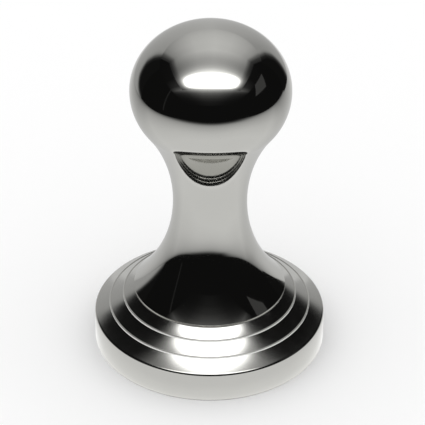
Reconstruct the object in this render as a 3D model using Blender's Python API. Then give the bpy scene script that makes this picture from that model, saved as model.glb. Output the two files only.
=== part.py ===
"""Espresso tamper: a turned, mirror-polished steel handle that screws onto a stepped steel base.

Everything is a solid of revolution about Z. The origin is the centre of the press face, +Z is up.
The handle, its stud and the seat washer leave the base along +Z, turning on the stud's thread.
"""

import math

import bmesh
import bpy

MM = 0.001

# Handle: an oval knob on a waisted neck. One arc sweeps from the knob down the neck to the foot's edge.
WAIST_RADIUS = 9.15 * MM
WAIST_HEIGHT = 40.3 * MM
SWEEP_RADIUS = 36.0 * MM
KNOB_RADIUS = 19.5 * MM
KNOB_HEIGHT = 71.3 * MM
KNOB_CROWN = 16.6 * MM
FOOT_RADIUS = 19.0 * MM

# Base: a flat press face, a cylindrical band, and sloping turned steps that climb to the handle's seat.
BASE_RADIUS = 29.0 * MM
BAND_HEIGHT = 8.05 * MM
RIM_ROUNDING = 0.8 * MM
PRESS_EDGE_CHAMFER = 0.3 * MM
SEAT_HEIGHT = 14.9 * MM
# Each step, from the seat outwards: its riser's radius, and the heights of its lip and of its foot.
STEPS = (
    (21.85 * MM, 13.10 * MM, 12.55 * MM),
    (25.30 * MM, 10.55 * MM, 10.10 * MM),
)
LIP_WIDTH = 0.55 * MM
LIP_FALL = 0.12 * MM

# Joint: an M8 stud locked in the handle, screwed into the base.
STUD_RADIUS = 4.0 * MM
STUD_END_CHAMFER = 0.7 * MM
STUD_BOTTOM = 6.2 * MM
STUD_LENGTH = 25.0 * MM
SOCKET_ACROSS_FLATS = 4.0 * MM
SOCKET_DEPTH = 4.5 * MM
BASE_HOLE_BOTTOM = 5.6 * MM
HANDLE_HOLE_TOP = 32.5 * MM
MOUTH_CHAMFER = 0.6 * MM
DRILL_POINT_HALF_ANGLE = math.radians(59)

WASHER_INNER_RADIUS = 4.6 * MM
WASHER_OUTER_RADIUS = 9.0 * MM
WASHER_THICKNESS = 1.0 * MM

GAP = 0.3 * MM  # clearance between neighbouring pieces

FINE_SEGMENTS = 80
HIDDEN_SEGMENTS = 48
SWEEP_POINTS = 24
UNDERSIDE_POINTS = 7
CROWN_POINTS = 14
ROUNDING_POINTS = 4
SOCKET_SIDES = 6
SAME_PLACE = 1e-7
SHARP_ANGLE = math.radians(20)

POLISHED_STEEL = (0.62, 0.61, 0.59)
POLISHED_ROUGHNESS = 0.06
STUD_STEEL = (0.42, 0.41, 0.40)
STUD_ROUGHNESS = 0.32
NYLON = (0.80, 0.78, 0.72)
NYLON_ROUGHNESS = 0.45


def clear_scene():
    for thing in list(bpy.data.objects):
        bpy.data.objects.remove(thing)


def arc(centre, radii, start, end, count):
    """Points (r, z) along an ellipse about centre, from angle start to end in degrees, both included."""
    points = []
    for i in range(count):
        angle = math.radians(start + (end - start) * i / (count - 1))
        points.append((centre[0] + radii[0] * math.cos(angle), centre[1] + radii[1] * math.sin(angle)))
    return points


def rounded_corner(corner, before, after, radius):
    """Points that round the corner between the neighbours before and after with an arc of that radius."""

    def unit(point):
        dr, dz = point[0] - corner[0], point[1] - corner[1]
        length = math.hypot(dr, dz)
        return dr / length, dz / length

    a, b = unit(before), unit(after)
    half = math.acos(a[0] * b[0] + a[1] * b[1]) / 2
    bisector = (a[0] + b[0], a[1] + b[1])
    reach = radius / math.sin(half) / math.hypot(*bisector)
    centre = (corner[0] + bisector[0] * reach, corner[1] + bisector[1] * reach)
    tangent = radius / math.tan(half)
    first = (corner[0] + a[0] * tangent, corner[1] + a[1] * tangent)
    start = math.degrees(math.atan2(first[1] - centre[1], first[0] - centre[0]))
    turn = math.copysign(math.degrees(math.pi - 2 * half), a[1] * b[0] - a[0] * b[1])
    return arc(centre, (radius, radius), start, start + turn, ROUNDING_POINTS)


def steel(name, colour, roughness):
    """A Principled metal."""
    material = bpy.data.materials.new(name)
    material.use_nodes = True
    shader = material.node_tree.nodes["Principled BSDF"]
    shader.inputs["Base Color"].default_value = (*colour, 1)
    shader.inputs["Metallic"].default_value = 1.0
    shader.inputs["Roughness"].default_value = roughness
    return material


def plastic(name, colour, roughness):
    """A Principled plastic."""
    material = steel(name, colour, roughness)
    material.node_tree.nodes["Principled BSDF"].inputs["Metallic"].default_value = 0.0
    return material


def turned(name, profile, segments, material):
    """A closed solid turned about Z from the (r, z) points of its half section, in order round it."""
    shape = bmesh.new()
    points = [shape.verts.new((r, 0, z)) for r, z in profile]
    edges = [shape.edges.new(pair) for pair in zip(points, points[1:])]
    on_axis = profile[0][0] == 0 and profile[-1][0] == 0
    if not on_axis:
        edges.append(shape.edges.new((points[-1], points[0])))
    bmesh.ops.spin(
        shape, geom=points + edges, cent=(0, 0, 0), axis=(0, 0, 1), angle=math.tau, steps=segments, use_merge=True
    )
    bmesh.ops.remove_doubles(shape, verts=shape.verts, dist=SAME_PLACE)
    bmesh.ops.dissolve_degenerate(shape, edges=shape.edges, dist=SAME_PLACE)
    bmesh.ops.recalc_face_normals(shape, faces=shape.faces)
    mesh = bpy.data.meshes.new(name)
    shape.to_mesh(mesh)
    shape.free()
    mesh.materials.append(material)
    mesh.shade_smooth()
    mesh.set_sharp_from_angle(angle=SHARP_ANGLE)
    piece = bpy.data.objects.new(name, mesh)
    bpy.context.scene.collection.objects.link(piece)
    return piece


def tapped_hole(mouth, bottom, radius):
    """Half section of a blind hole from its mouth at height mouth to full depth at bottom, drill point included."""
    inward = math.copysign(1, bottom - mouth)
    point_depth = radius / math.tan(DRILL_POINT_HALF_ANGLE)
    return [
        (radius + MOUTH_CHAMFER, mouth),
        (radius, mouth + inward * MOUTH_CHAMFER),
        (radius, bottom),
        (0, bottom + inward * point_depth),
    ]


def make_base(material):
    rim = (BASE_RADIUS, BAND_HEIGHT)
    press_edge = (BASE_RADIUS, PRESS_EDGE_CHAMFER)
    steps = []
    for radius, lip, foot in reversed(STEPS):
        steps += [(radius, foot), (radius, lip - LIP_FALL), (radius - LIP_WIDTH / 2, lip)]
        steps.append((radius - LIP_WIDTH, lip - LIP_FALL))
    profile = [(0, 0), (BASE_RADIUS - PRESS_EDGE_CHAMFER, 0), press_edge]
    profile += rounded_corner(rim, press_edge, steps[0], RIM_ROUNDING)
    profile += steps
    profile.append((FOOT_RADIUS, SEAT_HEIGHT))
    profile += tapped_hole(SEAT_HEIGHT, BASE_HOLE_BOTTOM, STUD_RADIUS + GAP)
    return turned("base", profile, FINE_SEGMENTS, material)


def make_handle(material):
    foot = SEAT_HEIGHT + GAP
    sweep_centre = (WAIST_RADIUS + SWEEP_RADIUS, WAIST_HEIGHT)
    foot_angle = math.degrees(math.acos((sweep_centre[0] - FOOT_RADIUS) / SWEEP_RADIUS))
    # The knob's underside is the arc that carries its widest line into the sweep without a kink.
    across = sweep_centre[0] - KNOB_RADIUS
    up = KNOB_HEIGHT - WAIST_HEIGHT
    underside_radius = (across**2 + up**2 - SWEEP_RADIUS**2) / (2 * (SWEEP_RADIUS - across))
    underside_centre = (KNOB_RADIUS - underside_radius, KNOB_HEIGHT)
    meeting = -math.degrees(math.atan2(up, sweep_centre[0] - underside_centre[0]))
    outside = [(FOOT_RADIUS, foot)]
    outside += arc(sweep_centre, (SWEEP_RADIUS,) * 2, 180 + foot_angle, 180 + meeting, SWEEP_POINTS)
    outside += arc(underside_centre, (underside_radius,) * 2, meeting, 0, UNDERSIDE_POINTS)[1:]
    outside += arc((0, KNOB_HEIGHT), (KNOB_RADIUS, KNOB_CROWN), 0, 90, CROWN_POINTS)[1:-1]
    outside.append((0, KNOB_HEIGHT + KNOB_CROWN))
    recess_radius = WASHER_OUTER_RADIUS + GAP
    recess_top = foot + WASHER_THICKNESS + GAP
    hole = tapped_hole(recess_top, HANDLE_HOLE_TOP, STUD_RADIUS + GAP)
    inside = list(reversed(hole)) + [(recess_radius, recess_top), (recess_radius, foot)]
    return turned("handle", inside + outside, FINE_SEGMENTS, material)


def make_stud(material):
    top = STUD_BOTTOM + STUD_LENGTH
    profile = [
        (0, STUD_BOTTOM),
        (STUD_RADIUS - STUD_END_CHAMFER, STUD_BOTTOM),
        (STUD_RADIUS, STUD_BOTTOM + STUD_END_CHAMFER),
        (STUD_RADIUS, top - STUD_END_CHAMFER),
        (STUD_RADIUS - STUD_END_CHAMFER, top),
        (0, top),
    ]
    stud = turned("joining_stud", profile, HIDDEN_SEGMENTS, material)
    bpy.ops.mesh.primitive_cylinder_add(
        vertices=SOCKET_SIDES,
        radius=SOCKET_ACROSS_FLATS / 2 / math.cos(math.pi / SOCKET_SIDES),
        depth=2 * SOCKET_DEPTH,
        location=(0, 0, STUD_BOTTOM),
    )
    socket = bpy.context.object
    socket.name = "socket_cutter"
    socket.hide_render = True
    socket.display_type = "WIRE"
    cut = stud.modifiers.new("hex_socket", "BOOLEAN")
    cut.operation = "DIFFERENCE"
    cut.solver = "EXACT"
    cut.object = socket
    return stud


def make_washer(material):
    bottom = SEAT_HEIGHT + GAP
    top = bottom + WASHER_THICKNESS
    profile = [
        (WASHER_INNER_RADIUS, bottom),
        (WASHER_OUTER_RADIUS, bottom),
        (WASHER_OUTER_RADIUS, top),
        (WASHER_INNER_RADIUS, top),
    ]
    return turned("seat_washer", profile, HIDDEN_SEGMENTS, material)


def main():
    clear_scene()
    polished = steel("polished_steel", POLISHED_STEEL, POLISHED_ROUGHNESS)
    make_base(polished)
    make_handle(polished)
    make_stud(steel("stud_steel", STUD_STEEL, STUD_ROUGHNESS))
    make_washer(plastic("washer_nylon", NYLON, NYLON_ROUGHNESS))


main()
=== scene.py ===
"""The looks of the espresso tamper: turned steel, a real screw thread and a nylon washer, in a light tent."""

import math

import bmesh
import bpy
from mathutils import Matrix, Vector


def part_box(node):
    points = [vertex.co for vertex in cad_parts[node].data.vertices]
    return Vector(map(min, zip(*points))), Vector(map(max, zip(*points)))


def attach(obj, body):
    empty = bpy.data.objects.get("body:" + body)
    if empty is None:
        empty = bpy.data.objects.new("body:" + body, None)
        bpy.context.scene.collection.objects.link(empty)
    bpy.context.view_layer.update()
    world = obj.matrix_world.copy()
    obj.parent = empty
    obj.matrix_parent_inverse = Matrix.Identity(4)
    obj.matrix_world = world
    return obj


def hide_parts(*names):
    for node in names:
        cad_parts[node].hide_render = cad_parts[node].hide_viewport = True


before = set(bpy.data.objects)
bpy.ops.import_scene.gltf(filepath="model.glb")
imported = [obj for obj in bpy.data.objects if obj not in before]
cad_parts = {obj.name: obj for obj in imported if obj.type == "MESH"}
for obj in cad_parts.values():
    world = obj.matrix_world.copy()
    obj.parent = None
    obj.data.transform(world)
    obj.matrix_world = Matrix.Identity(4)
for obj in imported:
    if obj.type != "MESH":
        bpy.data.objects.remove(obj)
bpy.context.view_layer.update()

MM = 0.001


# ---------------------------------------------------------------- the sizes that the frame gives

def radius_of(node_name):
    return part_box(node_name)[1].x


def bottom_of(node_name):
    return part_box(node_name)[0].z


def top_of(node_name):
    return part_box(node_name)[1].z


BASE_RADIUS = radius_of("base")
KNOB_RADIUS = radius_of("handle")
HANDLE_TOP = top_of("handle")
WASHER_RADIUS = radius_of("seat_washer")
WASHER_TOP = top_of("seat_washer")
WASHER_BOTTOM = bottom_of("seat_washer")
STUD_RADIUS = radius_of("joining_stud")
STUD_BOTTOM = bottom_of("joining_stud")
STUD_TOP = top_of("joining_stud")

# The base and the handle meet at the seat. Here only a hair's breadth is left between them.
SEAT_HEIGHT = top_of("base")
SEAT_JOINT = 0.10 * MM
FOOT_HEIGHT = SEAT_HEIGHT + SEAT_JOINT

# ---------------------------------------------------------------- the turned profile

WAIST_RADIUS = 9.15 * MM
WAIST_HEIGHT = 40.3 * MM
SWEEP_RADIUS = 36.0 * MM
SWEEP_AXIS = WAIST_RADIUS + SWEEP_RADIUS  # how far the sweep's centre stands from the axis
KNOB_CROWN = 16.6 * MM
KNOB_HEIGHT = HANDLE_TOP - KNOB_CROWN
FOOT_RADIUS = 19.0 * MM
FOOT_EDGE = 0.12 * MM

# The beads along the edges of the steps, from the seat outwards: each one's outer radius and its top's height.
BEADS = ((21.85 * MM, 13.10 * MM), (25.30 * MM, 10.54 * MM))
BEAD_ROUNDING = 0.18 * MM
BEAD_TOP = 0.12 * MM
# The low flank that lifts a bead's top above its tread.
BEAD_FLANK = 0.05 * MM
# How far each step's foot, where the next tread starts, lies below its bead's top.
BEAD_DROP = 0.46 * MM
# Where the last tread and the band would meet, before that edge is rounded.
RIM_HEIGHT = 7.82 * MM
RIM_ROUNDING = 0.8 * MM
PRESS_EDGE = 0.3 * MM

# Rings that divide the flat faces: round the tapped holes, on the seat, on the handle's foot and below.
HOLE_RING = 6 * MM
SEAT_RING = 12 * MM
FOOT_RING = 15 * MM
PRESS_RINGS = (24 * MM, 18 * MM, 12 * MM, 6 * MM)

# How many points the round stretches have, and how many stretches a tread has.
SWEEP_POINTS = 110
UNDERSIDE_POINTS = 40
CROWN_POINTS = 80
RIM_POINTS = 12
BEAD_POINTS = 8
EDGE_POINTS = 6
WASHER_EDGE_POINTS = 4
TREAD_STRETCHES = 12

# ---------------------------------------------------------------- the screw joint

PITCH = 1.25 * MM
THREAD_DEPTH = 0.77 * MM
THREAD_PLAY = 0.06 * MM
STUD_CHAMFER = 0.7 * MM
SOCKET_ACROSS_FLATS = 4.0 * MM
SOCKET_DEPTH = 4.5 * MM
SOCKET_DRILL_POINT = 0.6 * MM
HOLE_CHAMFER = 0.6 * MM
BASE_HOLE_BOTTOM = 5.6 * MM
HANDLE_HOLE_TOP = 32.5 * MM
DRILL_HALF_ANGLE = math.radians(59)
WASHER_BORE = 4.6 * MM
WASHER_EDGE = 0.12 * MM
RECESS_PLAY = 0.2 * MM

# ---------------------------------------------------------------- how the meshes are made

FINE_SEGMENTS = 288
THREAD_SEGMENTS = 96
SHARP_EDGE = math.radians(25)
# A face whose normal rises less than this counts as upright.
UPRIGHT = 0.45

# ---------------------------------------------------------------- the finishes

STEEL = (0.62, 0.617, 0.588)
STUD_STEEL = (0.42, 0.41, 0.40)
# Painted highlight on the base's risers: this near-white colour, more roughness, and a share less metallic.
RISER_HIGHLIGHT_COLOUR = (0.95, 0.947, 0.92)
RISER_ROUGHNESS = 0.22
RISER_HIGHLIGHT_DIFFUSE_SHARE = 0.55
TONE_SPREAD = 0.015
SCRATCH_DIRECTIONS = ((0.3, 0.2, 0.0), (0.9, -0.5, 1.2))
SCRATCH_FINENESS = (2200.0, 2200.0, 60.0)
NYLON_SHADE = (0.72, 0.70, 0.63)
NYLON_LIGHT = (0.88, 0.86, 0.80)
NYLON_DEPTH = (0.002, 0.0016, 0.0012)
PAPER_WHITE = (0.95, 0.95, 0.95)

# ---------------------------------------------------------------- the view and the studio

VIEW_ELEVATION = math.radians(33.49)
VIEW_DISTANCE = 580 * MM
VIEW_AIM_HEIGHT = 36.3 * MM
VIEW_ASIDE = 0.62 * MM
VIEW_ROLL = math.radians(0.41)
LENS = 198.7
SENSOR_WIDTH = 36

PAPER_REACH = 8.0
SUN_STRENGTH = 0.2
SUN_SPREAD = math.radians(50)
SUN_TILT = (math.radians(20), math.radians(-15), 0)

# ---------------------------------------------------------------- the light tent, in metres

FLOOR_HEIGHT = -1 * MM
FLOOR_CURL = 9 * MM  # height of the floor's right-hand edge
FLOOR_ACROSS = ((-0.295, FLOOR_HEIGHT), (0.2, FLOOR_HEIGHT), (0.3, FLOOR_CURL))
FLOOR_FRONT, FLOOR_END = -0.48, 0.32
FLOOR_BRIGHTEST = (0.010, -0.025)
FLOOR_SQUARENESS = 2.6

BACK_RADIUS = 300 * MM
BACK_AZIMUTHS = range(-242, -104, 3)

ROOF_HEIGHT = 250 * MM
ROOF_SIDES = (-0.178, 0.188)
ROOF_FRONT, ROOF_END = -0.16, 0.3
ROOF_FLARE_START = 60 * MM
ROOF_FLARE_RUN = 240 * MM

LAMP_CENTRE = (0.005, -0.105)
LAMP_HALF_SIZE = (0.14, 0.05)
LAMP_SQUARENESS = 3.0
LAMP_STRENGTH = 2.2

HAZE_ABOVE_ROOF = 1 * MM
HAZE_SIDES = (-0.3, 0.3)
HAZE_FRONT, HAZE_END = -0.45, 0.1

ROOM_REACH = 2.5
ROOM_SIDES = 24
ROOM_LEVEL = 13
CARD_DISTANCE = 450 * MM


# ---------------------------------------------------------------- profiles

def arc(centre, radii, start, end, count):
    """Points (r, z) along an ellipse about centre, from angle start to end in degrees, both included."""
    points = []
    for i in range(count):
        angle = math.radians(start + (end - start) * i / (count - 1))
        points.append((centre[0] + radii[0] * math.cos(angle), centre[1] + radii[1] * math.sin(angle)))
    return points


def sweep_height(radius):
    """Height of the great concave sweep, from the neck down over the steps, at that radius."""
    return WAIST_HEIGHT - math.sqrt(SWEEP_RADIUS**2 - (SWEEP_AXIS - radius) ** 2)


def rounded(points, radii, count=EDGE_POINTS):
    """The outline through points, with the corner at each index in radii rounded by that radius."""
    outline = []
    for i, corner in enumerate(points):
        if i not in radii:
            outline.append(corner)
            continue
        before, here, after = Vector(points[i - 1]), Vector(corner), Vector(points[i + 1])
        a, b = (before - here).normalized(), (after - here).normalized()
        half = a.angle(b) / 2
        centre = here + (a + b).normalized() * radii[i] / math.sin(half)
        first = here + a * radii[i] / math.tan(half) - centre
        start = math.degrees(math.atan2(first.y, first.x))
        turn = math.copysign(180 - 2 * math.degrees(half), a.y * b.x - a.x * b.y)
        outline += arc(centre, (radii[i],) * 2, start, start + turn, count)
    return outline


# ---------------------------------------------------------------- turned meshes

class Thread:
    """A stretch of 60 degree screw thread between two heights.

    limit(radius, z) gives what the plain bore or shank makes of a radius of the thread at that height.
    """

    # The share of one pitch at which each corner of the thread lies, and whether it is on the crest.
    CORNERS = ((0, True), (1 / 8, True), (7 / 16, False), (11 / 16, False))

    def __init__(self, start, end, crest, root, limit):
        self.start, self.end = start, end
        self.crest, self.root, self.limit = crest, root, limit

    def rows(self, segments):
        """Rows of (r, z) per segment, from the lower height up, each row climbing one pitch a turn."""
        low, high = sorted((self.start, self.end))
        first = math.floor(low / PITCH) - 1
        last = math.ceil(high / PITCH) + 1
        rows = []
        for cycle in range(first, last + 1):
            for share, on_crest in self.CORNERS:
                row = []
                for j in range(segments):
                    z = min(max((cycle + share + j / segments) * PITCH, low), high)
                    row.append((self.limit(self.crest if on_crest else self.root, z), z))
                rows.append(row)
        return rows


def add_corner(shape, radius, angle, z):
    return shape.verts.new((radius * math.cos(angle), radius * math.sin(angle), z))


def add_face(shape, corners):
    """A face on those corners, without the ones that coincide."""
    distinct = []
    for corner in corners:
        if corner not in distinct:
            distinct.append(corner)
    if len(distinct) > 2:
        shape.faces.new(distinct)


def plain_ring(shape, radius, z, segments):
    """A ring of corners at height z. radius is a number, or a function of the angle, or 0 for one point."""
    if radius == 0:
        return [add_corner(shape, 0, 0, z)]
    ring = []
    for j in range(segments):
        angle = math.tau * j / segments
        ring.append(add_corner(shape, radius(angle) if callable(radius) else radius, angle, z))
    return ring


def thread_rings(shape, thread, segments):
    """Adds a thread's faces, and returns its ring at the start and its ring at the end."""
    ends = {}
    for z in sorted((thread.start, thread.end)):
        ends[z] = plain_ring(shape, thread.limit(thread.crest, z), z, segments)
    grid = []
    for row in thread.rows(segments):
        ring = []
        for j, (radius, z) in enumerate(row):
            ring.append(ends[z][j] if z in ends else add_corner(shape, radius, math.tau * j / segments, z))
        grid.append(ring)
    # After a full turn each row runs on into the row that lies one pitch higher.
    rise = len(Thread.CORNERS)
    for i in range(len(grid) - 1):
        for j in range(segments):
            if j + 1 < segments:
                next_low, next_high = grid[i][j + 1], grid[i + 1][j + 1]
            else:
                next_low = grid[min(i + rise, len(grid) - 1)][0]
                next_high = grid[min(i + 1 + rise, len(grid) - 1)][0]
            add_face(shape, [grid[i][j], next_low, next_high, grid[i + 1][j]])
    return ends[thread.start], ends[thread.end]


def join_rings(shape, a, b):
    """Faces between two rings, either of which may be one point or have a multiple of the other's corners."""
    if len(a) < len(b):
        a, b = b, a
    share = len(a) // len(b)
    for j in range(len(a)):
        k = (j + 1) % len(a)
        far = (j + 1) // share % len(b)
        add_face(shape, [a[j], a[k], b[far], b[j // share]])


def add_object(name, data):
    made = bpy.data.objects.new(name, data)
    bpy.context.scene.collection.objects.link(made)
    return made


def turned(name, outline):
    """A closed solid turned about Z. outline goes round its half section, with (r, z) points and Threads."""
    shape = bmesh.new()
    pairs = []
    for item in outline:
        if isinstance(item, Thread):
            pairs.append(thread_rings(shape, item, THREAD_SEGMENTS))
        else:
            radius, z, segments = item if len(item) == 3 else (*item, FINE_SEGMENTS)
            ring = plain_ring(shape, radius, z, segments)
            pairs.append((ring, ring))
    ends_on_axis = len(pairs[0][0]) == 1 and len(pairs[-1][1]) == 1
    following = pairs[1:] if ends_on_axis else pairs[1:] + pairs[:1]
    for before, after in zip(pairs, following):
        join_rings(shape, before[1], after[0])
    bmesh.ops.recalc_face_normals(shape, faces=shape.faces)
    mesh = bpy.data.meshes.new(name)
    shape.to_mesh(mesh)
    shape.free()
    mesh.shade_smooth()
    mesh.set_sharp_from_angle(angle=SHARP_EDGE)
    return add_object(name, mesh)


# ---------------------------------------------------------------- the pieces

def tread(start, end):
    """Points along a tread from one step's foot to the next lip, hollow like the great sweep it belongs to."""
    points = []
    lift_start = start[1] - sweep_height(start[0])
    lift_end = end[1] - sweep_height(end[0])
    for i in range(TREAD_STRETCHES + 1):
        share = i / TREAD_STRETCHES
        radius = start[0] + (end[0] - start[0]) * share
        points.append((radius, sweep_height(radius) + lift_start + (lift_end - lift_start) * share))
    return points


def base_outside():
    """The base's outside, from the seat's edge over the treads and their beads to the press face."""
    outside = []
    start = (FOOT_RADIUS, SEAT_HEIGHT)
    for radius, top in BEADS:
        foot = (radius, top - BEAD_DROP)
        flank_top = (radius - BEAD_ROUNDING - BEAD_TOP, top)
        flank_foot = (flank_top[0] - BEAD_FLANK, top - BEAD_FLANK)
        bead = [flank_foot, flank_top, (radius, top), foot]
        outside += tread(start, flank_foot)
        outside += rounded(bead, {1: BEAD_FLANK / 2, 2: BEAD_ROUNDING}, BEAD_POINTS)[1:]
        start = foot
    rim = (BASE_RADIUS, RIM_HEIGHT)
    press_edge = (BASE_RADIUS, PRESS_EDGE)
    last_tread = tread(start, rim)
    # The rounding of the rim takes up the last two stretches of its tread.
    outside += last_tread[:-3] + rounded([last_tread[-3], rim, press_edge], {1: RIM_ROUNDING}, RIM_POINTS)
    return outside + [(BASE_RADIUS - PRESS_EDGE, 0)]


def bore_limit(mouth, inward, chamfer_radius, end, drill_radius):
    """How far out a tapped hole's wall is at least: the chamfer at its mouth, the drill's size at its end."""
    def limit(radius, z):
        depth = (z - mouth) * inward
        runout = max(0.0, min(1.0, (end - z) * inward / PITCH))
        tapped_radius = drill_radius + (radius - drill_radius) * runout
        return max(tapped_radius, chamfer_radius - depth)
    return limit


def tapped_hole(mouth, bottom):
    """Outline of a threaded blind hole, from the drill point on the axis to its mouth.

    Known fault: the thread in it still runs from the mouth inwards, so turned() joins its two ends crosswise,
    and a plain funnel covers the thread. Thread(thread_end, mouth, ...) would join them as they should be.
    """
    inward = math.copysign(1, bottom - mouth)
    root = STUD_RADIUS + THREAD_PLAY
    crest = root - THREAD_DEPTH + THREAD_PLAY
    chamfer_radius = root + HOLE_CHAMFER - THREAD_PLAY
    thread_end = bottom - inward * PITCH
    limit = bore_limit(mouth, inward, chamfer_radius, thread_end, crest)
    drill_point = bottom + inward * crest / math.tan(DRILL_HALF_ANGLE)
    return [(0, drill_point), (crest, bottom, THREAD_SEGMENTS), Thread(mouth, thread_end, crest, root, limit)]


def mark_painted_riser_highlight(base):
    """Marks the risers, which get a painted highlight: a near-white, less metallic and rougher finish."""
    marks = base.data.attributes.new("painted_riser_highlight", "FLOAT", "FACE")
    for face in base.data.polygons:
        radius = math.hypot(*face.center.xy)
        at_step = any(abs(radius - bead_radius) < BEAD_FLANK for bead_radius, _ in BEADS)
        upright = abs(face.normal.z) < UPRIGHT
        marks.data[face.index].value = 1.0 if at_step and upright else 0.0


def make_base():
    hole = tapped_hole(SEAT_HEIGHT, BASE_HOLE_BOTTOM)
    outside = base_outside()
    seat = rounded([(SEAT_RING, SEAT_HEIGHT), (FOOT_RADIUS, SEAT_HEIGHT), outside[1]], {1: FOOT_EDGE})
    press_face = [(radius, 0) for radius in PRESS_RINGS] + [(0, 0)]
    outline = hole + [(HOLE_RING, SEAT_HEIGHT)] + seat[:-1] + outside[1:] + press_face
    base = turned("stepped_base", outline)
    mark_painted_riser_highlight(base)
    return base


def handle_outside():
    """The handle's outside, from its foot up the sweep and over the knob to its top on the axis."""
    # The knob's underside is the arc that carries its widest line into the sweep without a kink.
    across = SWEEP_AXIS - KNOB_RADIUS
    up = KNOB_HEIGHT - WAIST_HEIGHT
    underside = (across**2 + up**2 - SWEEP_RADIUS**2) / (2 * (SWEEP_RADIUS - across))
    underside_axis = KNOB_RADIUS - underside
    meeting = -math.degrees(math.atan2(up, SWEEP_AXIS - underside_axis))
    foot_angle = math.degrees(math.acos((SWEEP_AXIS - FOOT_RADIUS) / SWEEP_RADIUS))
    sweep_centre = (SWEEP_AXIS, WAIST_HEIGHT)
    sweep = arc(sweep_centre, (SWEEP_RADIUS,) * 2, 180 + foot_angle, 180 + meeting, SWEEP_POINTS)
    knob = arc((underside_axis, KNOB_HEIGHT), (underside,) * 2, meeting, 0, UNDERSIDE_POINTS)
    crown = arc((0, KNOB_HEIGHT), (KNOB_RADIUS, KNOB_CROWN), 0, 90, CROWN_POINTS)
    return sweep + knob[1:] + crown[1:-1] + [(0, HANDLE_TOP)]


def make_handle():
    outside = handle_outside()
    edge = rounded([(FOOT_RING, FOOT_HEIGHT), (FOOT_RADIUS, FOOT_HEIGHT), outside[0]], {1: FOOT_EDGE})
    recess_radius = WASHER_RADIUS + RECESS_PLAY
    recess_top = WASHER_TOP + RECESS_PLAY
    recess_wall = [(recess_radius, recess_top), (recess_radius, FOOT_HEIGHT)]
    recess = rounded(
        [(HOLE_RING, recess_top)] + recess_wall + [(FOOT_RING, FOOT_HEIGHT)], {1: FOOT_EDGE, 2: FOOT_EDGE})
    outline = tapped_hole(recess_top, HANDLE_HOLE_TOP) + recess + edge[1:] + outside[1:]
    return turned("turned_handle", outline)


def hexagon(angle):
    """Radius of the socket's hexagon at that angle."""
    sixth = math.tau / 6
    return SOCKET_ACROSS_FLATS / 2 / math.cos(angle % sixth - sixth / 2)


def make_stud():
    end_radius = STUD_RADIUS - STUD_CHAMFER

    def limit(radius, z):
        return min(radius, end_radius + min(z - STUD_BOTTOM, STUD_TOP - z))

    crest = STUD_RADIUS - THREAD_PLAY / 2
    thread = Thread(STUD_BOTTOM, STUD_TOP, crest, crest - THREAD_DEPTH, limit)
    socket_top = STUD_BOTTOM + SOCKET_DEPTH
    socket = [(0, socket_top + SOCKET_DRILL_POINT)]
    socket += [(hexagon, z, THREAD_SEGMENTS) for z in (socket_top, STUD_BOTTOM)]
    return turned("threaded_stud", socket + [thread, (0, STUD_TOP)])


def make_washer():
    middle = (WASHER_BORE + WASHER_RADIUS) / 2
    start = (middle, WASHER_BOTTOM)
    corners = [(WASHER_RADIUS, WASHER_BOTTOM), (WASHER_RADIUS, WASHER_TOP),
               (WASHER_BORE, WASHER_TOP), (WASHER_BORE, WASHER_BOTTOM)]
    edges = {i + 1: WASHER_EDGE for i in range(len(corners))}
    outline = rounded([start] + corners + [start], edges, WASHER_EDGE_POINTS)[:-1]
    return turned("nylon_washer", outline)


# ---------------------------------------------------------------- nodes

def feed(tree, socket, value):
    """Gives an input that value, or links it where the value is another node's output."""
    if isinstance(value, bpy.types.NodeSocket):
        tree.links.new(value, socket)
    else:
        socket.default_value = value


def node(tree, kind, **values):
    """A node of that kind with its properties set, or its inputs fed where no property has the name."""
    made = tree.nodes.new(kind)
    for key, value in values.items():
        if hasattr(made, key):
            setattr(made, key, value)
        else:
            feed(tree, made.inputs[key.replace("_", " ")], value)
    return made


def noise(tree, **values):
    return node(tree, "ShaderNodeTexNoise", **values).outputs["Fac"]


def mix_colours(tree, factor, a, b):
    """A colour between a and b, each of which is a colour or another node's output."""
    return node(tree, "ShaderNodeMix", data_type="RGBA", Factor=factor, A=a, B=b).outputs["Result"]


def bump(tree, **values):
    return node(tree, "ShaderNodeBump", **values).outputs["Normal"]


def map_range(tree, value, source, target):
    """Goes from target's first number to its second as value goes through source, and stays level beyond."""
    return node(tree, "ShaderNodeMapRange", Value=value, From_Min=source[0], From_Max=source[1],
                To_Min=target[0], To_Max=target[1]).outputs["Result"]


def combine(tree, operation, a, b):
    """The outcome of a sum in which a and b are each a number or another node's output."""
    joined = node(tree, "ShaderNodeMath", operation=operation)
    feed(tree, joined.inputs[0], a)
    feed(tree, joined.inputs[1], b)
    return joined.outputs["Value"]


def product(tree, first, *others):
    for other in others:
        first = combine(tree, "MULTIPLY", first, other)
    return first


def through(tree, where, stops):
    """A value that follows stops of (place, value) in straight stretches as the output where moves."""
    total = stops[0][1]
    for (a, value_a), (b, value_b) in zip(stops, stops[1:]):
        total = combine(tree, "ADD", total, map_range(tree, where, (a, b), (0.0, value_b - value_a)))
    return total


def new_material(name, kind, **values):
    """A material of one shader of that kind, its node tree, and the shader."""
    material = bpy.data.materials.new(name)
    material.use_nodes = True
    tree = material.node_tree
    tree.nodes.clear()
    shader = node(tree, kind, **values)
    node(tree, "ShaderNodeOutputMaterial", Surface=shader.outputs[0])
    return material, tree, shader


# ---------------------------------------------------------------- materials

def scratched(tree, where, normal, depth):
    """The normal with fine polishing scratches in two directions."""
    for rotation in SCRATCH_DIRECTIONS:
        drawn = node(tree, "ShaderNodeMapping", Vector=where, Rotation=rotation, Scale=SCRATCH_FINENESS)
        grain = noise(tree, Vector=drawn.outputs["Vector"], Scale=1.0, Detail=2.0)
        line = map_range(tree, grain, (0.66, 0.72), (0.0, 1.0))
        normal = bump(tree, Height=line, Normal=normal, Strength=1.0, Distance=depth, invert=True)
    return normal


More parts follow.
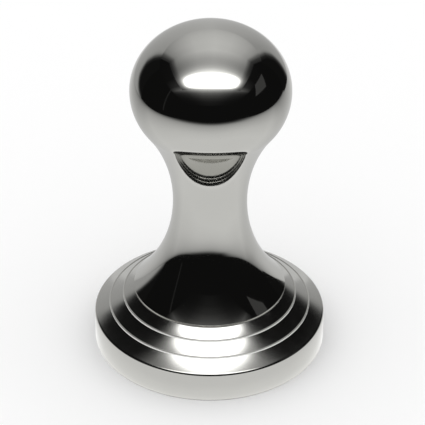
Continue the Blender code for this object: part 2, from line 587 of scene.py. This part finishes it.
def steel_material(name, colour, roughness, roughness_spread, ring_pitch, ring_depth, scratch_depth):
    """Turned steel: fine rings from the lathe, polishing scratches, slight changes of shine and tone, and a
    painted highlight on the risers.
    """
    material, tree, shader = new_material(name, "ShaderNodeBsdfPrincipled")
    where = node(tree, "ShaderNodeTexCoord").outputs["Object"]
    painted_riser_highlight = node(tree, "ShaderNodeAttribute", attribute_name="painted_riser_highlight").outputs["Fac"]

    tone = map_range(tree, noise(tree, Vector=where, Scale=90.0, Detail=3.0), (0.3, 0.7), (0.0, 1.0))
    darker, lighter = [[share * part for part in colour] for share in (1 - TONE_SPREAD, 1 + TONE_SPREAD)]
    polished = mix_colours(tree, tone, (*darker, 1), (*lighter, 1))
    # Painted highlight: the risers are mixed towards near-white and made partly not metallic.
    feed(tree, shader.inputs["Base Color"], mix_colours(tree, painted_riser_highlight, polished, (*RISER_HIGHLIGHT_COLOUR, 1)))
    metallic = map_range(tree, painted_riser_highlight, (0.0, 1.0), (1.0, 1.0 - RISER_HIGHLIGHT_DIFFUSE_SHARE))
    feed(tree, shader.inputs["Metallic"], metallic)

    smear = noise(tree, Vector=where, Scale=260.0, Detail=5.0, Roughness=0.65)
    shine = map_range(tree, smear, (0.35, 0.7), (roughness, roughness + roughness_spread))
    dull = map_range(tree, painted_riser_highlight, (0.0, 1.0), (0.0, RISER_ROUGHNESS))
    feed(tree, shader.inputs["Roughness"], combine(tree, "MAXIMUM", shine, dull))

    # The rings' texture repeats every tau / 20 at scale 1.
    rings = node(tree, "ShaderNodeTexWave", Vector=where, wave_type="RINGS", rings_direction="Z",
                 Scale=math.tau / 20 / ring_pitch, Distortion=1.5, Detail=2.0, Detail_Scale=3.0)
    turning = bump(tree, Height=rings.outputs["Fac"], Strength=1.0, Distance=ring_depth)
    feed(tree, shader.inputs["Normal"], scratched(tree, where, turning, scratch_depth))
    return material


def nylon_material():
    """Natural nylon: milky, faintly mottled, with fine moulding grain."""
    material, tree, shader = new_material(
        "natural_nylon", "ShaderNodeBsdfPrincipled",
        Roughness=0.45, IOR=1.53, Subsurface_Weight=0.2, Subsurface_Radius=NYLON_DEPTH)
    where = node(tree, "ShaderNodeTexCoord").outputs["Object"]
    mottle = noise(tree, Vector=where, Scale=500.0, Detail=4.0)
    colour = mix_colours(tree, mottle, (*NYLON_SHADE, 1), (*NYLON_LIGHT, 1))
    feed(tree, shader.inputs["Base Color"], colour)
    grain = noise(tree, Vector=where, Scale=4000.0, Detail=2.0)
    feed(tree, shader.inputs["Normal"], bump(tree, Height=grain, Strength=0.4, Distance=0.02 * MM))
    return material


# ---------------------------------------------------------------- the light tent

def glow(level):
    """Strength of a light surface that the steel mirrors at that sRGB level."""
    share = level / 255
    linear = share / 12.92 if share < 0.04045 else ((share + 0.055) / 1.055) ** 2.4
    return linear / STEEL[0]


def glows(stops):
    """Stops of (place, level) with each level turned into a strength."""
    return [(where, glow(level)) for where, level in stops]


def emitter(name):
    """A light material, its node tree, and the socket of its strength."""
    material, tree, light = new_material(name, "ShaderNodeEmission")
    return material, tree, light.inputs["Strength"]


def position(tree):
    """World X, Y and Z of the lit spot."""
    geometry = node(tree, "ShaderNodeNewGeometry")
    split = node(tree, "ShaderNodeSeparateXYZ", Vector=geometry.outputs["Position"])
    return [split.outputs[axis] for axis in "XYZ"]


def distance(tree, value, centre):
    return combine(tree, "ABSOLUTE", combine(tree, "SUBTRACT", value, centre), 0.0)


def radius_at(tree, across, ahead, squareness=2.0):
    """Radius of the point (across, ahead). Rings of equal radius are circles at squareness 2, squarer above."""
    across_part = combine(tree, "POWER", across, squareness)
    ahead_part = combine(tree, "POWER", ahead, squareness)
    return combine(tree, "POWER", combine(tree, "ADD", across_part, ahead_part), 1 / squareness)


def sheet(name, rows, material):
    """A sheet through rows of points that only the steel's reflections can see."""
    width = len(rows[0])
    faces = []
    for i in range(len(rows) - 1):
        for j in range(width - 1):
            a = i * width + j
            faces.append((a, a + 1, a + 1 + width, a + width))
    mesh = bpy.data.meshes.new(name)
    mesh.from_pydata([point for row in rows for point in row], [], faces)
    mesh.materials.append(material)
    cloth = add_object(name, mesh)
    for ray in ("camera", "diffuse", "transmission", "volume_scatter", "shadow"):
        setattr(cloth, "visible_" + ray, False)


def make_tent_floor():
    """The tent's floor: brightest round the base and falling away to the open front and sides, with painted
    shadows and a painted bright ring.
    """
    material, tree, strength = emitter("tent_floor")
    x, y, _ = position(tree)
    aside = distance(tree, x, FLOOR_BRIGHTEST[0])
    ahead = distance(tree, combine(tree, "MINIMUM", y, FLOOR_BRIGHTEST[1]), FLOOR_BRIGHTEST[1])
    open_floor = through(tree, radius_at(tree, aside, ahead, FLOOR_SQUARENESS), glows([
        (0.06, 188), (0.10, 180), (0.14, 168), (0.20, 151), (0.24, 135), (0.275, 107), (0.31, 77), (0.35, 48),
        (0.40, 25), (0.46, 13)]))
    # Painted shadow: the floor is darker just behind the object, where its shadow would fall.
    behind = through(tree, y, [
        (0.0, 1.0), (0.03, 0.85), (0.06, 0.77), (0.1, 0.82), (0.16, 0.92), (0.3, 0.95)])
    # Painted contact shadow and painted light at the base's edge: a dark ring under the press edge, and a
    # bright ring just outside it that fades outwards.
    from_axis = radius_at(tree, distance(tree, x, 0.0), distance(tree, y, 0.0))
    painted_contact_shadow_and_glow = through(tree, from_axis, [
        (0.0270, 0.9), (0.0275, 0.1), (0.0287, 0.1), (0.0290, 1.5), (0.032, 1.15), (0.037, 1.0)])
    tree.links.new(product(tree, open_floor, behind, painted_contact_shadow_and_glow), strength)
    rows = [[(side, depth, height) for side, height in FLOOR_ACROSS] for depth in (FLOOR_FRONT, FLOOR_END)]
    sheet("tent_floor", rows, material)


def make_tent_back():
    """The tent's curved back, a little brighter in the middle, and fading towards its two upright edges."""
    material, tree, strength = emitter("tent_back")
    x, y, z = position(tree)
    middle = through(tree, x, glows([(-0.2, 139), (-0.12, 151), (0.0, 161), (0.12, 147), (0.19, 133)]))
    left_lean = through(tree, z, [(0.0, 0.055), (0.06, 0.012), (0.12, -0.008), (0.18, -0.006), (0.25, 0.006)])
    left_fade = through(tree, combine(tree, "ADD", x, left_lean), [
        (-0.252, 0.02), (-0.241, 0.06), (-0.231, 0.3), (-0.222, 0.72), (-0.212, 0.92), (-0.2, 1.0)])
    right_lean = through(tree, z, [(0.12, 0.0), (0.186, 0.0135), (0.25, 0.038)])
    right_fade = through(tree, combine(tree, "SUBTRACT", x, right_lean), [
        (0.178, 1.0), (0.188, 0.8), (0.197, 0.3), (0.207, 0.07), (0.22, 0.02)])
    tree.links.new(product(tree, middle, combine(tree, "MULTIPLY", left_fade, right_fade)), strength)
    angles = [math.radians(azimuth) for azimuth in BACK_AZIMUTHS]
    ring = [(BACK_RADIUS * math.sin(angle), -BACK_RADIUS * math.cos(angle)) for angle in angles]
    sheet("tent_back", [[(*spot, height) for spot in ring] for height in (FLOOR_HEIGHT, ROOF_HEIGHT)], material)


def roof_widening(depth):
    """How much wider the roof is at that depth than over the lamp."""
    return 1 + max(0, depth - ROOF_FLARE_START) / ROOF_FLARE_RUN


def narrowed(tree, x, y):
    """World X, divided by the roof's widening there."""
    behind = combine(tree, "MAXIMUM", combine(tree, "SUBTRACT", y, ROOF_FLARE_START), 0.0)
    widening = combine(tree, "ADD", combine(tree, "DIVIDE", behind, ROOF_FLARE_RUN), 1.0)
    return combine(tree, "DIVIDE", x, widening)


def make_tent_roof():
    """The tent's grey roof, with the lamp's soft-cornered opening near its front."""
    material, tree, strength = emitter("tent_roof")
    x, y, _ = position(tree)
    grey = through(tree, y, glows([
        (-0.045, 155), (-0.02, 142), (-0.01, 141), (0.0, 145), (0.012, 151), (0.055, 181), (0.11, 182),
        (0.19, 175), (0.28, 165)]))
    dim = through(tree, narrowed(tree, x, y), [
        (-0.178, 0.03), (-0.165, 0.06), (-0.15, 0.17), (-0.135, 0.41), (-0.115, 0.53), (-0.09, 0.66),
        (-0.045, 0.9), (0.01, 1.0), (0.05, 0.93), (0.1, 0.74), (0.135, 0.54), (0.15, 0.24), (0.165, 0.07),
        (0.188, 0.03)])
    starting = through(tree, y, [(ROOF_FRONT, 0.2), (-0.11, 1.0)])
    aside, ahead = distance(tree, x, LAMP_CENTRE[0]), distance(tree, y, LAMP_CENTRE[1])
    aside_share = combine(tree, "DIVIDE", aside, LAMP_HALF_SIZE[0])
    ahead_share = combine(tree, "DIVIDE", ahead, LAMP_HALF_SIZE[1])
    outline = radius_at(tree, aside_share, ahead_share, LAMP_SQUARENESS)
    from_centre = radius_at(tree, aside, ahead)
    beyond = combine(tree, "SUBTRACT", from_centre, combine(tree, "DIVIDE", from_centre, outline))
    lamp = through(tree, beyond, [(-0.008, LAMP_STRENGTH)] + glows([
        (-0.002, 255), (0.0, 243), (0.005, 200), (0.012, 160), (0.025, 110), (0.04, 80), (0.055, 57),
        (0.07, 40), (0.10, 22), (0.14, 0)]))
    tree.links.new(combine(tree, "ADD", product(tree, grey, dim, starting), lamp), strength)
    rows = []
    for depth in (ROOF_FRONT, ROOF_FLARE_START, ROOF_END):
        rows.append([(side * roof_widening(depth), depth, ROOF_HEIGHT) for side in ROOF_SIDES])
    sheet("tent_roof", rows, material)


def make_lamp_haze():
    """The lamp's haze on the ceiling of the room, seen past the front of the tent's roof."""
    material, tree, strength = emitter("lamp_haze")
    x, y, _ = position(tree)
    fall = through(tree, y, glows([
        (-0.425, 10), (-0.337, 18), (-0.275, 36), (-0.23, 60), (-0.2, 88), (-0.19, 110), (-0.18, 134),
        (-0.17, 164), (-0.16, 208), (-0.12, 100), (-0.05, 20), (0.1, 0)]))
    spread = through(tree, x, [
        (-0.3, 0.02), (-0.2, 0.13), (-0.15, 0.24), (-0.1, 0.55), (-0.05, 0.93), (0.0, 1.0), (0.05, 0.86),
        (0.1, 0.52), (0.15, 0.24), (0.2, 0.13), (0.3, 0.02)])
    tree.links.new(combine(tree, "ADD", product(tree, fall, spread), glow(ROOM_LEVEL)), strength)
    height = ROOF_HEIGHT + HAZE_ABOVE_ROOF
    rows = [[(side, depth, height) for side in HAZE_SIDES] for depth in (HAZE_FRONT, HAZE_END)]
    sheet("lamp_haze", rows, material)


def make_dark_room():
    """The dim room round the tent."""
    material, tree, strength = emitter("dark_room")
    strength.default_value = glow(ROOM_LEVEL)
    angles = [math.tau * i / ROOM_SIDES for i in range(ROOM_SIDES + 1)]
    ring = [(ROOM_REACH * math.cos(angle), ROOM_REACH * math.sin(angle)) for angle in angles]
    walls = [[(*spot, height) for spot in ring] for height in (-ROOM_REACH, ROOM_REACH)]
    ceiling = [(0, 0, ROOM_REACH)] * len(ring)
    sheet("dark_room", walls + [ceiling], material)


def make_upright_card(name, level, azimuths, elevations, lean):
    """A dim card beside the tent, at angles seen from the knob. Lean turns its upper edge further round."""
    material, tree, strength = emitter(name)
    strength.default_value = glow(level)
    rows = []
    for elevation, shift in zip(elevations, (-lean, lean)):
        z = KNOB_HEIGHT + CARD_DISTANCE * math.tan(math.radians(elevation))
        angles = [math.radians(azimuth + shift) for azimuth in azimuths]
        spots = [(CARD_DISTANCE * math.sin(angle), -CARD_DISTANCE * math.cos(angle)) for angle in angles]
        rows.append([(*spot, z) for spot in spots])
    sheet(name, rows, material)


def make_tent():
    make_tent_floor()
    make_tent_back()
    make_tent_roof()
    make_lamp_haze()
    make_dark_room()
    make_upright_card("light_strip", level=31, azimuths=(-66.2, -64.4), elevations=(-5, 30), lean=0.0)
    make_upright_card("grey_card", level=54, azimuths=(74, 97), elevations=(17, 33), lean=6.0)


# ---------------------------------------------------------------- the studio and the camera

def make_sky():
    """An even white sky, which lights the studio but isn't mirrored."""
    world = bpy.data.worlds.new("studio")
    bpy.context.scene.world = world
    world.use_nodes = True
    background = world.node_tree.nodes["Background"]
    background.inputs["Color"].default_value = (1, 1, 1, 1)
    background.inputs["Strength"].default_value = 1.0
    world.cycles_visibility.glossy = False


def make_paper_floor():
    mesh = bpy.data.meshes.new("studio_floor")
    corners = [(-PAPER_REACH, -PAPER_REACH), (PAPER_REACH, -PAPER_REACH),
               (PAPER_REACH, PAPER_REACH), (-PAPER_REACH, PAPER_REACH)]
    mesh.from_pydata([(x, y, 0) for x, y in corners], [], [(0, 1, 2, 3)])
    paper, _, _ = new_material(
        "white_paper", "ShaderNodeBsdfPrincipled",
        Base_Color=(*PAPER_WHITE, 1), Roughness=0.9, Specular_IOR_Level=0.0)
    mesh.materials.append(paper)
    floor = add_object("studio_floor", mesh)
    floor.visible_glossy = False


def make_soft_light():
    sun = bpy.data.lights.new("soft_light", "SUN")
    sun.energy = SUN_STRENGTH
    sun.angle = SUN_SPREAD
    lamp = add_object("soft_light", sun)
    lamp.rotation_euler = SUN_TILT
    lamp.visible_glossy = False


def make_studio():
    bpy.context.scene.view_settings.view_transform = "Standard"
    make_sky()
    make_paper_floor()
    make_soft_light()


def make_camera():
    data = bpy.data.cameras.new("camera")
    data.lens = LENS
    data.sensor_width = SENSOR_WIDTH
    camera = add_object("camera", data)
    away = Vector((0, -math.cos(VIEW_ELEVATION), math.sin(VIEW_ELEVATION)))
    aim = Vector((VIEW_ASIDE, 0, VIEW_AIM_HEIGHT))
    tilt = Matrix.Rotation(math.pi / 2 - VIEW_ELEVATION, 4, "X")
    roll = Matrix.Rotation(VIEW_ROLL, 4, "Z")
    camera.matrix_world = Matrix.Translation(aim + away * VIEW_DISTANCE) @ tilt @ roll
    bpy.context.scene.camera = camera


# ---------------------------------------------------------------- building it all

def add_piece(piece, body, replaced, material):
    piece.data.materials.clear()
    piece.data.materials.append(material)
    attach(piece, body)
    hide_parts(replaced)


make_camera()
make_studio()
make_tent()

handle_steel = steel_material(
    "mirror_steel", STEEL, roughness=0.035, roughness_spread=0.04,
    ring_pitch=0.9 * MM, ring_depth=0.0002 * MM, scratch_depth=0.0004 * MM)
base_steel = steel_material(
    "turned_steel", STEEL, roughness=0.12, roughness_spread=0.05,
    ring_pitch=0.35 * MM, ring_depth=0.0006 * MM, scratch_depth=0.0004 * MM)
thread_steel = steel_material(
    "thread_steel", STUD_STEEL, roughness=0.28, roughness_spread=0.15,
    ring_pitch=0.2 * MM, ring_depth=0.002 * MM, scratch_depth=0.002 * MM)
add_piece(make_base(), "base", "base", base_steel)
add_piece(make_handle(), "handle", "handle", handle_steel)
add_piece(make_stud(), "handle", "joining_stud", thread_steel)
add_piece(make_washer(), "washer", "seat_washer", nylon_material())
